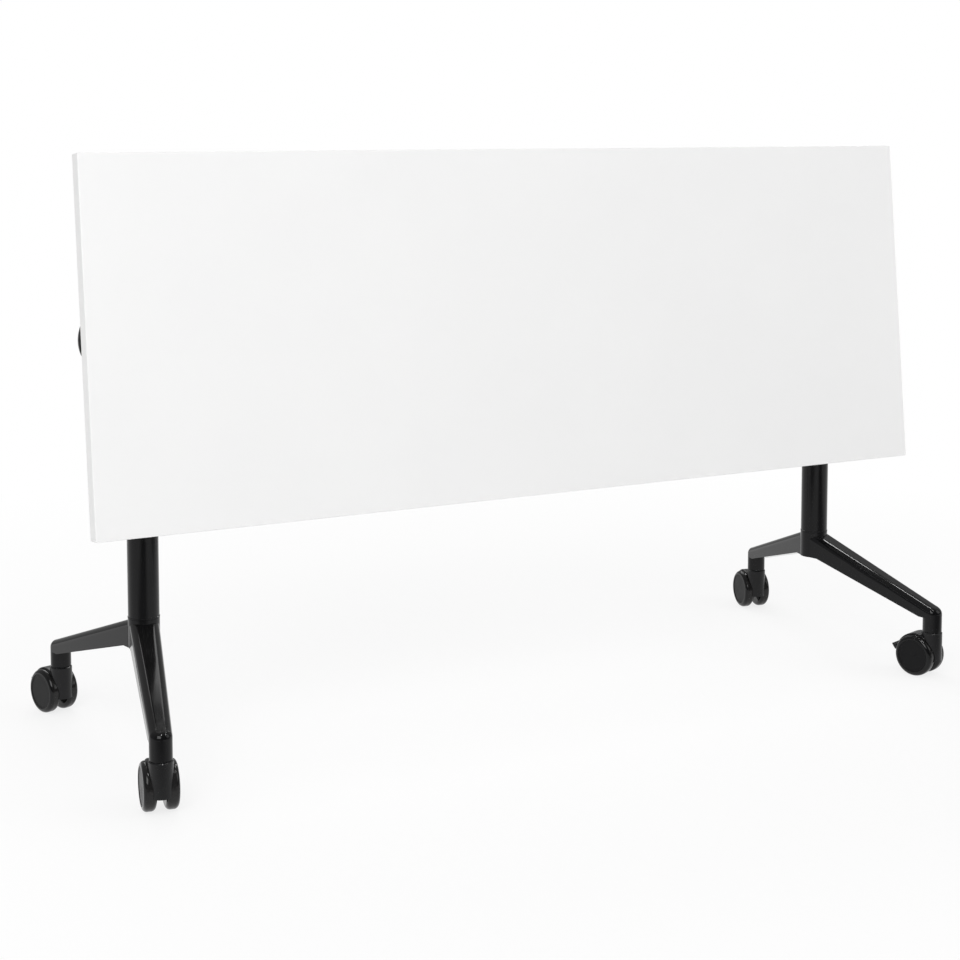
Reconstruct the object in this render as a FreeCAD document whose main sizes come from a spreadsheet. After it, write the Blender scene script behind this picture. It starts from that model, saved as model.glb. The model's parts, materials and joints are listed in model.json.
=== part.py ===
import FreeCAD, Part
import math
import os
from types import SimpleNamespace

import Sketcher
from FreeCAD import Placement, Rotation, Vector

# Flip-top table on casters, folded: the worktop stands upright in front of two T-legs.
# Millimetres, +Z up, X along the worktop, -Y the side that the folded worktop's face looks to.
# The origin is on the floor in the middle of the folded table's box.
SIZES = {
    # Worktop: coated board with an edge strip all round.
    "top_length": 1600,
    "top_depth": 600,
    "top_thickness": 30,
    "laminate": 0.8,
    "edge_band": 2,
    "edge_round": 1.6,
    # Fold: hinge axis under the open worktop and ahead of the columns.
    "open_height": 740,
    "hinge_drop": 81.7,
    "hinge_lead": 21.5,
    "lean_angle": 6.16,
    # Columns, their seam collars and the plugs and bolts inside.
    "column_inset": 116,
    "column_lead": 29.12,
    "column_dia": 51,
    "column_wall": 2,
    "column_top_drop": 78,
    "collar_dia": 52.4,
    "collar_height": 3,
    "collar_chamfer": 0.6,
    "plug_height": 22,
    "foot_bolt_dia": 10,
    "foot_bolt_head_dia": 16,
    "foot_bolt_head_height": 8,
    "foot_bolt_recess": 10,
    # Cast feet: hub with a spigot into the column, two arms, a boss at each arm's end.
    "hub_dia": 52,
    "hub_bottom": 180,
    "hub_top": 228.5,
    "spigot_length": 60,
    "foot_reach": 274,
    "foot_splay": 64,
    "arm_root_width": 49,
    "arm_root_top": 222,
    "arm_root_bottom": 180,
    "arm_tip_top": 127,
    "arm_tip_bottom": 112,
    "arm_round": 13,
    "boss_dia": 35.4,
    "boss_bottom": 86,
    "stem_hole_depth": 30,
    # Twin-wheel casters, measured from the swivel axis, with the trail pointing back.
    "wheel_dia": 76,
    "wheel_width": 20.5,
    "wheel_round": 7.4,
    "wheel_side_gap": 1,
    "web_width": 12,
    "web_bottom": 29,
    "web_back": 56,
    "caster_trail": 25,
    "neck_dia": 37.6,
    "neck_chamfer": 1.4,
    "hood_gap": 0.8,
    "hood_wall": 2,
    "hood_width": 38,
    "hood_bottom": 60,
    "hood_round": 4,
    "stem_dia": 11,
    "stem_thread_dia": 10,
    "stem_thread": 26,
    "stem_depth": 30,
    "stem_flange_dia": 26,
    "stem_flange": 1.4,
    "axle_dia": 8,
    "face_dia": 60,
    "face_recess": 2.6,
    "face_thickness": 1.7,
    "face_ring": 2,
    "face_ring_height": 0.5,
    # Brake pedal between the wheels.
    "pedal_pivot_back": 49,
    "pedal_pivot_height": 45,
    "pedal_pivot_dia": 5,
    "pedal_slot": 6,
    "pedal_slot_front": 39,
    "pedal_neck_depth": 12,
    "pedal_start": 66,
    "pedal_tip": 76,
    "pedal_width": 30,
    "pedal_rise": 2,
    "pedal_round": 1.5,
    # Hinge heads on the columns.
    "head_width": 51,
    "head_bulge": 10,
    "head_spigot": 50,
    "head_round": 5,
    "knuckle_width": 36,
    "knuckle_radius": 20,
    "knuckle_skirt": 40,
    "lug_radius": 9.5,
    "fork_gap": 17,
    "fork_clear": 2,
    # Brackets under the worktop, hinge pins, bushes and nuts.
    "bracket_width": 124,
    "bracket_depth": 220,
    "bracket_plate": 4,
    "bracket_round": 8,
    "ear_thickness": 5,
    "ear_boss_radius": 17,
    "ear_front": 50,
    "ear_rim": 10,
    "hinge_pin_dia": 12,
    "bush_wall": 2,
    "bush_flange": 1,
    "bush_flange_dia": 22,
    "pin_head": 7,
    "pin_head_dia": 19,
    "nut_height": 8,
    "bracket_screw_dia": 4.8,
    "bracket_screw_head_dia": 9,
    "bracket_screw_head": 3,
    "bracket_screw_bite": 18,
    "bracket_screw_inset": 14,
    # Stop pads on the heads.
    "stop_pad": 2.7,
    "front_pad_length": 14,
    "rear_pad_length": 20,
    # Crossbar between the heads.
    "crossbar_height": 50,
    "crossbar_depth": 30,
    "crossbar_wall": 2,
    "crossbar_round": 3,
    "crossbar_rise": 4,
    "crossbar_spigot": 30,
    "crossbar_screw_pitch": 24,
    "frame_screw_dia": 6,
    "frame_screw_head_dia": 10.5,
    "frame_screw_head": 3.2,
    "frame_screw_length": 16,
    # Latch: release bar, hooks, handles, striker pins and leaf springs.
    "latch_reach": 74,
    "striker_rise": 4,
    "striker_dia": 8,
    "bar_rise": 35,
    "bar_dia": 10,
    "bar_overhang": 90,
    "hook_width": 12,
    "hook_eye_radius": 9,
    "hook_shank": 7,
    "hook_tooth": 5,
    "hook_tooth_reach": 4,
    "hook_gap": 0.5,
    "spring_width": 8,
    "spring_strip": 0.8,
    "spring_seat": 24,
    "handle_inner": 50,
    "handle_outer": 111,
    "handle_thickness": 9,
    "handle_hub_radius": 9.5,
    "handle_drop": 26,
    "handle_length": 75,
    "handle_bow_radius": 70,
    "handle_bow_back": 41,
    "handle_inner_round": 10,
    "handle_outer_round": 12,
    "handle_edge_round": 2.5,
    # Clearances, and how far a cut runs past what it cuts.
    "slip_gap": 0.1,
    "run_gap": 0.05,
    "face_gap": 0.3,
    "overrun": 5,
}
# Which way each caster trails at rest, in degrees from straight back.
CASTER_TURNS = {"left_rear": 16, "left_front": -10, "right_rear": -12, "right_front": 18}
# Points on the ears' round boss where its straight edges leave it, as shares of the boss radius.
EAR_FRONT_SHARES = (-0.94, -0.34)
EAR_REAR_SHARES = (0.42, -0.91)
# Points of the pedal's side view between its pivot and its tip, as shares of its reach and neck depth.
PEDAL_HEEL_SHARE = 0.3
PEDAL_WAIST_SHARE = 0.15

# How near two points must be to count as one.
SAME_PLACE = 1e-6

FULL_TURN = 360
HALF_TURN = 180
QUARTER_TURN = 90
LEFT = -1
RIGHT = 1
ALONG_X = Rotation(Vector(0, 1, 0), QUARTER_TURN)
ALONG_MINUS_X = Rotation(Vector(0, 1, 0), -QUARTER_TURN)
ALONG_Y = Rotation(Vector(1, 0, 0), -QUARTER_TURN)

doc = FreeCAD.newDocument("flip_top_table")
sheet = doc.addObject("Spreadsheet::Sheet", "Sizes")
pieces = {}


class Size:
    """A size that knows its value and the sheet formula that gives it."""

    def __init__(self, value, formula):
        self.value = value
        self.formula = formula

    def __add__(self, other):
        other = as_size(other)
        return Size(self.value + other.value, f"({self.formula} + {other.formula})")

    def __sub__(self, other):
        other = as_size(other)
        return Size(self.value - other.value, f"({self.formula} - {other.formula})")

    def __mul__(self, other):
        other = as_size(other)
        return Size(self.value * other.value, f"({self.formula} * {other.formula})")

    def __truediv__(self, other):
        other = as_size(other)
        return Size(self.value / other.value, f"({self.formula} / {other.formula})")

    def __neg__(self):
        return Size(-self.value, f"(-1 * {self.formula})")

    __rmul__ = __mul__


def as_size(number):
    return number if isinstance(number, Size) else Size(number, str(number))


def square_root(area):
    return Size(math.sqrt(area.value), f"sqrt({area.formula})")


def sine(angle):
    return Size(math.sin(math.radians(angle.value)), f"sin({angle.formula})")


def cosine(angle):
    return Size(math.cos(math.radians(angle.value)), f"cos({angle.formula})")


def fill_sheet():
    """Writes every driving size into its own row of the sheet and returns them by name."""
    sizes = SimpleNamespace()
    for row, (name, value) in enumerate(SIZES.items(), start=1):
        sheet.set(f"A{row}", name)
        sheet.set(f"B{row}", str(value))
        sheet.setAlias(f"B{row}", name)
        setattr(sizes, name, Size(value, f"Sizes.{name}"))
    doc.recompute()
    return sizes


size = fill_sheet()
zero = as_size(0)


def keep(name, item):
    """Makes an object one of the table's pieces, under the name of its file."""
    item.Label = name
    pieces[name] = item
    return item


def bind(item, prop, value):
    item.setExpression(prop, value.formula)


def place(item, x, y, z, rotation=Rotation()):
    item.Placement = Placement(Vector(x.value, y.value, z.value), rotation)
    bind(item, "Placement.Base.x", x)
    bind(item, "Placement.Base.y", y)
    bind(item, "Placement.Base.z", z)
    return item


def box(name, length, depth, height, x, y, z, rotation=Rotation()):
    item = doc.addObject("Part::Box", name)
    bind(item, "Length", length)
    bind(item, "Width", depth)
    bind(item, "Height", height)
    return place(item, x, y, z, rotation)


def cylinder(name, radius, height, x, y, z, rotation=Rotation()):
    item = doc.addObject("Part::Cylinder", name)
    bind(item, "Radius", radius)
    bind(item, "Height", height)
    return place(item, x, y, z, rotation)


def fused(name, parts):
    item = doc.addObject("Part::MultiFuse", name)
    item.Shapes = parts
    return item


def common(name, parts):
    item = doc.addObject("Part::MultiCommon", name)
    item.Shapes = parts
    return item


def cut(name, base, tools):
    item = doc.addObject("Part::Cut", name)
    item.Base = base
    item.Tool = tools[0] if len(tools) == 1 else fused(f"{name}_tools", tools)
    return item


def scattered(name, master, places):
    """One node of like pieces: the master's solid set down at each place."""
    doc.recompute()
    solids = []
    for spot in places:
        solid = master.Shape.copy()
        solid.Placement = spot
        solids.append(solid)
    item = doc.addObject("Part::Feature", name)
    item.Shape = Part.makeCompound(solids)
    item.Placement = Placement()
    return keep(name, item)


def spot(x, y, z, rotation=Rotation()):
    return Placement(Vector(x.value, y.value, z.value), rotation)


def new_body(name):
    return doc.addObject("PartDesign::Body", name)


def sketch_on(body, name, role, offset=zero):
    """A sketch on one of the body's origin planes, moved along the plane's normal."""
    sketch = body.newObject("Sketcher::SketchObject", f"{body.Name}_{name}")
    plane = next(item for item in body.Origin.OriginFeatures if item.Role == role)
    sketch.AttachmentSupport = (plane, [""])
    sketch.MapMode = "FlatFace"
    sketch.AttachmentOffset = Placement(Vector(0, 0, offset.value), Rotation())
    bind(sketch, "AttachmentOffset.Base.z", offset)
    return sketch


def hold(sketch, kind, where, value):
    index = sketch.addConstraint(Sketcher.Constraint(kind, *where, value.value))
    sketch.setExpression(f"Constraints[{index}]", value.formula)


def hold_point(sketch, geometry, end, point):
    """Ties a point of the sketch to its distances from the sketch's origin."""
    for kind, axis, value in (("DistanceX", -2, point[0]), ("DistanceY", -1, point[1])):
        if value.value == 0:
            sketch.addConstraint(Sketcher.Constraint("PointOnObject", geometry, end, axis))
        else:
            hold(sketch, kind, (-1, 1, geometry, end), value)


def add_outline(sketch, corners):
    """A closed outline of straight sides through the corners."""
    first = sketch.GeometryCount
    count = len(corners)
    points = [Vector(u.value, v.value, 0) for u, v in corners]
    for index in range(count):
        side = Part.LineSegment(points[index], points[(index + 1) % count])
        sketch.addGeometry(side, False)
    for index in range(count):
        following = first + (index + 1) % count
        sketch.addConstraint(Sketcher.Constraint("Coincident", first + index, 2, following, 1))
    for index, corner in enumerate(corners):
        hold_point(sketch, first + index, 1, corner)


def add_circle(sketch, centre, radius):
    middle = Vector(centre[0].value, centre[1].value, 0)
    circle = Part.Circle(middle, Vector(0, 0, 1), radius.value)
    index = sketch.addGeometry(circle, False)
    hold_point(sketch, index, 3, centre)
    hold(sketch, "Radius", (index,), radius)


def rectangle(u_low, u_high, v_low, v_high):
    return [(u_low, v_low), (u_high, v_low), (u_high, v_high), (u_low, v_high)]


def pad(body, sketch, length, side="One side", reverse=False):
    feature = body.newObject("PartDesign::Pad", f"{sketch.Name}_pad")
    feature.Profile = sketch
    feature.SideType = side
    feature.Reversed = reverse
    bind(feature, "Length", length)
    return feature


def pocket_through(body, sketch, length):
    """Cuts the sketch through the body, half of the length to each side of the sketch."""
    doc.recompute()
    before = body.Shape.Volume
    feature = body.newObject("PartDesign::Pocket", f"{sketch.Name}_pocket")
    feature.Profile = sketch
    feature.SideType = "Symmetric"
    bind(feature, "Length", length)
    doc.recompute()
    if body.Shape.Volume >= before:
        raise ValueError(f"{sketch.Name} cuts nothing")
    return feature


def round_edges(body, radius, wanted):
    doc.recompute()
    base = body.Tip
    names = [f"Edge{index}" for index, edge in enumerate(base.Shape.Edges, start=1) if wanted(edge)]
    feature = body.newObject("PartDesign::Fillet", f"{body.Name}_round_{len(body.Group)}")
    feature.Base = (base, names)
    bind(feature, "Radius", radius)
    return feature


def turned(name, profile):
    """A piece turned about Z from its half profile of radius and height."""
    body = new_body(name)
    sketch = sketch_on(body, "profile", "XZ_Plane")
    add_outline(sketch, profile)
    feature = body.newObject("PartDesign::Revolution", f"{name}_turn")
    feature.Profile = sketch
    feature.ReferenceAxis = (sketch, ["V_Axis"])
    feature.Angle = FULL_TURN
    return body


# Places that several pieces share.
column_span = size.top_length - size.column_inset * 2
fold_angle = QUARTER_TURN - SIZES["lean_angle"]
FOLD = Rotation(Vector(1, 0, 0), fold_angle)
column_y = -size.column_lead
hinge_y = column_y - size.hinge_lead
hinge_z = size.open_height - size.hinge_drop
column_top = hinge_z - size.column_top_drop
column_bottom = size.hub_top + size.collar_height
column_bore = size.column_dia / 2 - size.column_wall
plate_low = size.hinge_drop - size.top_thickness - size.bracket_plate
underside = size.hinge_drop - size.top_thickness
ear_inner = size.knuckle_width / 2 + size.bush_flange + size.slip_gap * 2
ear_outer = ear_inner + size.ear_thickness
hinge_pin_radius = size.hinge_pin_dia / 2
sides = {"left": LEFT, "right": RIGHT}


def column_x(side):
    return column_span / 2 * side


def on_top(item, x, depth, height, turn=Rotation()):
    """Sets down a piece of the folded worktop.

    Depth and height are measured from the hinge axis as the worktop lies when it is open.
    """
    lean = size.lean_angle
    y = hinge_y + depth * sine(lean) - height * cosine(lean)
    z = hinge_z + depth * cosine(lean) + height * sine(lean)
    return place(item, x, y, z, FOLD.multiply(turn))


def spot_on_top(x, depth, height, turn=Rotation()):
    offset = FOLD.multVec(Vector(x.value, depth.value, height.value))
    return Placement(offset + Vector(0, hinge_y.value, hinge_z.value), FOLD.multiply(turn))


# Worktop: core, two laminates and the edge strip, with pilot holes for the bracket screws.
def bracket_screw_places():
    """Where the bracket screws go, along and across the open worktop."""
    places = []
    for side in sides.values():
        for along in (LEFT, RIGHT):
            reach_x = size.bracket_width / 2 - size.bracket_screw_inset
            for across in (-1, 0, 1):
                reach_y = size.bracket_depth / 2 - size.bracket_screw_inset
                places.append((column_x(side) + reach_x * along, reach_y * across))
    return places


def pilot_holes(name):
    radius = size.bracket_screw_dia / 2 + size.run_gap
    depth = size.bracket_screw_bite + size.slip_gap
    holes = []
    for x, y in bracket_screw_places():
        hole = cylinder(f"{name}_pilot_{len(holes)}", radius, depth + size.overrun, zero, zero, zero)
        holes.append(on_top(hole, x, y, underside - size.overrun))
    return holes


def board(name, bottom, thickness, holes):
    length = size.top_length - size.edge_band * 2
    depth = size.top_depth - size.edge_band * 2
    slab = box(f"{name}_slab", length, depth, thickness, zero, zero, zero)
    on_top(slab, -length / 2, size.hinge_lead - depth / 2, bottom)
    if holes:
        slab = cut(f"{name}_drilled", slab, pilot_holes(name))
    keep(name, slab)


def edge_strip():
    body = new_body("edge_band_strip")
    middle = size.hinge_lead
    outer = sketch_on(body, "outer", "XY_Plane", underside)
    half_x = size.top_length / 2
    half_y = size.top_depth / 2
    add_outline(outer, rectangle(-half_x, half_x, middle - half_y, middle + half_y))
    pad(body, outer, size.top_thickness)
    round_edges(body, size.edge_round, lambda edge: True)
    inner = sketch_on(body, "inner", "XY_Plane", underside)
    inner_x = half_x - size.edge_band
    inner_y = half_y - size.edge_band
    add_outline(inner, rectangle(-inner_x, inner_x, middle - inner_y, middle + inner_y))
    pocket_through(body, inner, size.top_thickness * 2 + size.overrun)
    keep("edge_band", on_top(body, zero, zero, zero))


board("worktop_core", underside + size.laminate, size.top_thickness - size.laminate * 2, True)
board("worktop_laminate", size.hinge_drop - size.laminate, size.laminate, False)
board("underside_laminate", underside, size.laminate, True)
edge_strip()


# Feet: hub, two arms and their bosses, in one casting.
arm_length = square_root(size.foot_reach * size.foot_reach + size.foot_splay * size.foot_splay)


def add_arm_plan(sketch):
    """An arm from above: two round ends joined by their common tangents."""
    root = size.arm_root_width / 2
    tip = size.boss_dia / 2
    lean = math.asin((root.value - tip.value) / arm_length.value)
    open_angle = math.pi / 2 - lean
    up = Vector(0, 0, 1)
    far = Vector(arm_length.value, 0, 0)
    root_circle = Part.Circle(Vector(0, 0, 0), up, root.value)
    tip_circle = Part.Circle(far, up, tip.value)
    root_arc = Part.ArcOfCircle(root_circle, open_angle, 2 * math.pi - open_angle)
    tip_arc = Part.ArcOfCircle(tip_circle, -open_angle, open_angle)
    lower = Part.LineSegment(root_arc.EndPoint, tip_arc.StartPoint)
    upper = Part.LineSegment(tip_arc.EndPoint, root_arc.StartPoint)
    for part in (root_arc, lower, tip_arc, upper):
        sketch.addGeometry(part, False)
    for index in range(4):
        sketch.addConstraint(Sketcher.Constraint("Tangent", index, 2, (index + 1) % 4, 1))
    sketch.addConstraint(Sketcher.Constraint("Coincident", 0, 3, -1, 1))
    hold_point(sketch, 2, 3, (arm_length, zero))
    hold(sketch, "Radius", (0,), root)
    hold(sketch, "Radius", (2,), tip)


def arm(name, angle):
    """One sloping arm with a rounded back, pointing away from the hub."""
    body = new_body(name)
    hub = size.hub_dia / 2
    start = -size.arm_root_width / 2 - size.overrun
    nose = arm_length + size.boss_dia / 2
    end = nose + size.overrun
    fall = (size.arm_root_top - size.arm_tip_top) / (nose - hub)
    crest = size.arm_root_top + fall * (hub - start)
    plan = sketch_on(body, "plan", "XY_Plane", size.arm_tip_bottom)
    add_arm_plan(plan)
    pad(body, plan, crest - size.arm_tip_bottom)
    above = sketch_on(body, "above", "XZ_Plane")
    high = crest + size.overrun
    add_outline(above, [
        (start, crest),
        (end, size.arm_tip_top - fall * size.overrun),
        (end, high),
        (start, high),
    ])
    pocket_through(body, above, size.arm_root_width * 2)

    def on_back(edge):
        """True for the edges round the sloping top of the arm."""
        ends = [vertex.Point for vertex in edge.Vertexes]
        slope = [SIZES["arm_root_top"] - fall.value * (point.x - hub.value) for point in ends]
        return all(abs(point.z - height) < SAME_PLACE for point, height in zip(ends, slope))

    round_edges(body, size.arm_round, on_back)
    crown = sketch_on(body, "crown", "XZ_Plane")
    add_outline(crown, [
        (start, size.arm_tip_bottom - size.overrun),
        (size.foot_bolt_dia, size.arm_tip_bottom - size.overrun),
        (size.foot_bolt_dia, size.arm_root_top),
        (end, size.arm_root_top),
        (end, high),
        (start, high),
    ])
    pocket_through(body, crown, size.arm_root_width * 2)
    below = sketch_on(body, "below", "XZ_Plane")
    low = size.arm_tip_bottom - size.overrun
    heel = arm_length - size.boss_dia / 2
    add_outline(below, [
        (start, low),
        (heel, low),
        (heel, size.arm_tip_bottom),
        (hub, size.arm_root_bottom),
        (start, size.arm_root_bottom),
    ])
    pocket_through(body, below, size.arm_root_width * 2)
    return place(body, zero, zero, zero, Rotation(Vector(0, 0, 1), angle))


def foot_casting():
    """The solid parts of the left foot, fused, and the holes to be cut into it."""
    hub_radius = size.hub_dia / 2
    hub_height = size.hub_top - size.hub_bottom
    spigot_radius = column_bore - size.slip_gap
    hub = cylinder("foot_hub", hub_radius, hub_height, zero, zero, size.hub_bottom)
    spigot_height = size.collar_height + size.spigot_length
    spigot = cylinder("foot_spigot", spigot_radius, spigot_height, zero, zero, size.hub_top)
    parts = [hub, spigot]
    bolt_radius = size.foot_bolt_dia / 2 + size.slip_gap
    bolt_low = size.hub_bottom - size.overrun
    bolt_span = size.hub_top + spigot_height + size.overrun - bolt_low
    recess_radius = size.foot_bolt_head_dia / 2 + size.face_gap
    recess_depth = size.foot_bolt_recess + size.overrun
    holes = [
        cylinder("foot_bolt_hole", bolt_radius, bolt_span, zero, zero, bolt_low),
        cylinder("foot_bolt_recess", recess_radius, recess_depth, zero, zero, bolt_low),
    ]
    thread_radius = size.stem_thread_dia / 2 + size.run_gap
    boss_height = size.arm_tip_bottom - size.boss_bottom
    hole_low = size.boss_bottom - size.overrun
    hole_depth = size.stem_hole_depth + size.overrun
    for end, way in (("front", -1), ("rear", 1)):
        x = -size.foot_splay
        y = size.foot_reach * way
        parts.append(arm(f"foot_{end}_arm", math.degrees(math.atan2(y.value, x.value))))
        parts.append(cylinder(f"foot_{end}_boss", size.boss_dia / 2, boss_height, x, y, size.boss_bottom))
        holes.append(cylinder(f"foot_{end}_hole", thread_radius, hole_depth, x, y, hole_low))
    return fused("foot_blank", parts), holes


foot_blank, foot_holes = foot_casting()
for side_name, side in sides.items():
    foot = cut(f"{side_name}_foot_casting", foot_blank, foot_holes)
    turn = Rotation(Vector(0, 0, 1), 0 if side == LEFT else HALF_TURN)
    keep(f"{side_name}_foot", place(foot, column_x(side), column_y, zero, turn))


# Columns: round tubes on the hub spigots, with a collar at the seam and a plug for the foot bolt.
def column(name, side):
    height = column_top - column_bottom
    screw_z = height - size.head_spigot / 2
    outside = cylinder(f"{name}_outside", size.column_dia / 2, height, zero, zero, zero)
    bore_height = height + size.overrun * 2
    bore = cylinder(f"{name}_bore", column_bore, bore_height, zero, zero, -size.overrun)
    hole_radius = size.frame_screw_dia / 2 + size.slip_gap
    hole = cylinder(f"{name}_hole", hole_radius, size.column_dia, zero, zero, screw_z, ALONG_Y)
    tube = cut(f"{name}_tube", outside, [bore, hole])
    keep(name, place(tube, column_x(side), column_y, column_bottom))


def collar(name, side):
    inside = column_bore
    outside = size.collar_dia / 2
    ring = turned(f"{name}_ring", [
        (inside, zero),
        (outside - size.collar_chamfer, zero),
        (outside, size.collar_chamfer),
        (outside, size.collar_height - size.collar_chamfer),
        (outside - size.collar_chamfer, size.collar_height),
        (inside, size.collar_height),
    ])
    keep(name, place(ring, column_x(side), column_y, size.hub_top))


plug_bottom = column_bottom + size.spigot_length
plug = turned("column_plug", [
    (size.foot_bolt_dia / 2 + size.run_gap, zero),
    (column_bore - size.run_gap, zero),
    (column_bore - size.run_gap, size.plug_height),
    (size.foot_bolt_dia / 2 + size.run_gap, size.plug_height),
])
bolt_seat = size.hub_bottom + size.foot_bolt_recess
foot_bolt = turned("foot_bolt", [
    (zero, -size.foot_bolt_head_height),
    (size.foot_bolt_head_dia / 2, -size.foot_bolt_head_height),
    (size.foot_bolt_head_dia / 2, zero),
    (size.foot_bolt_dia / 2, zero),
    (size.foot_bolt_dia / 2, plug_bottom + size.plug_height - bolt_seat),
    (zero, plug_bottom + size.plug_height - bolt_seat),
])
for side_name, side in sides.items():
    column(f"{side_name}_column", side)
    collar(f"{side_name}_collar", side)
scattered("column_plugs", plug, [spot(column_x(s), column_y, plug_bottom) for s in sides.values()])
scattered("foot_bolts", foot_bolt, [spot(column_x(s), column_y, bolt_seat) for s in sides.values()])


# Outline of the bracket ears, which the stops on the heads follow.
bar_back = size.latch_reach
ear_front_low = tuple(size.ear_boss_radius * share for share in EAR_FRONT_SHARES)
ear_rear_low = tuple(size.ear_boss_radius * share for share in EAR_REAR_SHARES)
ear_rear_tip = (bar_back + size.ear_rim, size.bar_rise - size.ear_rim)
ear_front_top = (-size.ear_front, plate_low)


def folded(point):
    """A point of the open worktop, from the hinge axis, as it lies when folded."""
    lean = size.lean_angle
    depth, height = point
    return (depth * sine(lean) - height * cosine(lean), depth * cosine(lean) + height * sine(lean))


def stop_line(start, end):
    """The line that a stop face follows: a point on it, its rise, and its fall below the ear."""
    rise = (end[1] - start[1]) / (end[0] - start[0])
    slant = square_root(rise * rise + 1)
    drop = (size.stop_pad + size.face_gap) * slant
    return SimpleNamespace(start=start, rise=rise, drop=drop)


def stop_height(line, depth):
    return line.start[1] + (depth - line.start[0]) * line.rise - line.drop


front_stop = stop_line(folded(ear_front_low), folded(ear_front_top))
rear_stop = stop_line(ear_rear_low, ear_rear_tip)
head_front = size.hinge_lead - size.column_dia / 2
head_back = size.hinge_lead + size.column_dia / 2
head_nose = head_front - size.head_bulge
head_low = -size.column_top_drop
crossbar_middle = head_low + size.crossbar_rise + size.crossbar_height / 2
crossbar_inside_z = size.crossbar_height / 2 - size.crossbar_wall - size.slip_gap
crossbar_inside_y = size.crossbar_depth / 2 - size.crossbar_wall - size.slip_gap
striker = (size.latch_reach, size.striker_rise)


# Hinge heads: cast blocks on the columns, with a hinge knuckle, a fork for the latch and a crossbar spigot.
def head(name, side):
    body = new_body(f"{name}_casting")
    block = sketch_on(body, "block", "YZ_Plane")
    front_meet = folded(ear_front_low)[0]
    add_outline(block, [
        (head_front, head_low),
        (head_back, head_low),
        (head_back, stop_height(rear_stop, head_back)),
        (ear_rear_low[0], stop_height(rear_stop, ear_rear_low[0])),
        (front_meet, stop_height(front_stop, front_meet)),
        (head_nose, stop_height(front_stop, head_nose)),
        (head_nose, -size.knuckle_skirt),
        (head_front, -size.knuckle_skirt - size.head_bulge),
    ])
    pad(body, block, size.head_width, "Symmetric")

    def upright(edge):
        """True for the block's upright outer edges, front and back."""
        ends = [vertex.Point for vertex in edge.Vertexes]
        level = abs(ends[0].y - ends[1].y) < SAME_PLACE
        return level and abs(ends[0].x - ends[1].x) < SAME_PLACE

    round_edges(body, size.head_round, upright)
    knuckle = sketch_on(body, "knuckle", "YZ_Plane")
    add_outline(knuckle, [
        (-size.knuckle_radius, zero),
        (head_nose, -size.knuckle_skirt),
        (head_back, -size.knuckle_skirt),
        (head_back, -size.knuckle_radius),
        (striker[0], striker[1] - size.lug_radius),
        (striker[0], striker[1] + size.lug_radius),
        (zero, size.knuckle_radius),
    ])
    pad(body, knuckle, size.knuckle_width, "Symmetric")
    for boss_name, centre, radius in (
        ("hinge_boss", (zero, zero), size.knuckle_radius),
        ("lug_boss", striker, size.lug_radius),
    ):
        boss = sketch_on(body, boss_name, "YZ_Plane")
        add_circle(boss, centre, radius)
        pad(body, boss, size.knuckle_width, "Symmetric")
    stub = sketch_on(body, "stub", "XY_Plane", head_low)
    add_circle(stub, (zero, size.hinge_lead), column_bore - size.slip_gap)
    pad(body, stub, size.head_spigot, reverse=True)
    spigot = sketch_on(body, "spigot", "YZ_Plane", -size.head_width / 2 * side)
    add_outline(spigot, rectangle(
        size.hinge_lead - crossbar_inside_y,
        size.hinge_lead + crossbar_inside_y,
        crossbar_middle - crossbar_inside_z,
        crossbar_middle + crossbar_inside_z,
    ))
    pad(body, spigot, size.crossbar_spigot, reverse=side == RIGHT)
    bores = sketch_on(body, "bores", "YZ_Plane")
    add_circle(bores, (zero, zero), hinge_pin_radius + size.bush_wall)
    add_circle(bores, striker, size.striker_dia / 2 + size.run_gap)
    pocket_through(body, bores, size.knuckle_width + size.overrun)
    fork = sketch_on(body, "fork", "XY_Plane")
    fork_x = size.fork_gap / 2
    fork_end = striker[0] + size.lug_radius + size.overrun
    add_outline(fork, rectangle(-fork_x, fork_x, head_back + size.fork_clear, fork_end))
    pocket_through(body, fork, size.knuckle_skirt * 2)
    screws = sketch_on(body, "screws", "XZ_Plane")
    screw_radius = size.frame_screw_dia / 2 + size.run_gap
    screw_x = -(size.head_width / 2 + size.crossbar_spigot / 2) * side
    add_circle(screws, (zero, head_low - size.head_spigot / 2), screw_radius)
    add_circle(screws, (screw_x, crossbar_middle - size.crossbar_screw_pitch / 2), screw_radius)
    add_circle(screws, (screw_x, crossbar_middle + size.crossbar_screw_pitch / 2), screw_radius)
    pocket_through(body, screws, size.column_dia * 2 + size.hinge_lead * 2)
    keep(name, place(body, column_x(side), hinge_y, hinge_z))


for side_name, side in sides.items():
    head(f"{side_name}_hinge_head", side)


# Crossbar: rectangular tube pushed over the spigots of both heads.
def crossbar():
    length = column_span - size.head_width
    body = new_body("crossbar_tube")
    section = sketch_on(body, "section", "YZ_Plane")
    half_y = size.crossbar_depth / 2
    half_z = size.crossbar_height / 2
    add_outline(section, rectangle(-half_y, half_y, -half_z, half_z))
    pad(body, section, length, "Symmetric")

    def along_bar(edge):
        ends = [vertex.Point for vertex in edge.Vertexes]
        return abs(ends[0].x - ends[1].x) > length.value / 2

    round_edges(body, size.crossbar_round, along_bar)
    inside = sketch_on(body, "inside", "YZ_Plane")
    inner_y = half_y - size.crossbar_wall
    inner_z = half_z - size.crossbar_wall
    add_outline(inside, rectangle(-inner_y, inner_y, -inner_z, inner_z))
    pocket_through(body, inside, length + size.overrun)
    radius = size.frame_screw_dia / 2 + size.slip_gap
    holes = []
    for x, z in crossbar_screw_places():
        hole = cylinder(f"crossbar_hole_{len(holes)}", radius, size.crossbar_depth, x, zero, z, ALONG_Y)
        holes.append(hole)
    drilled = cut("crossbar_drilled", body, holes)
    keep("crossbar", place(drilled, zero, column_y, hinge_z + crossbar_middle))


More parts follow.
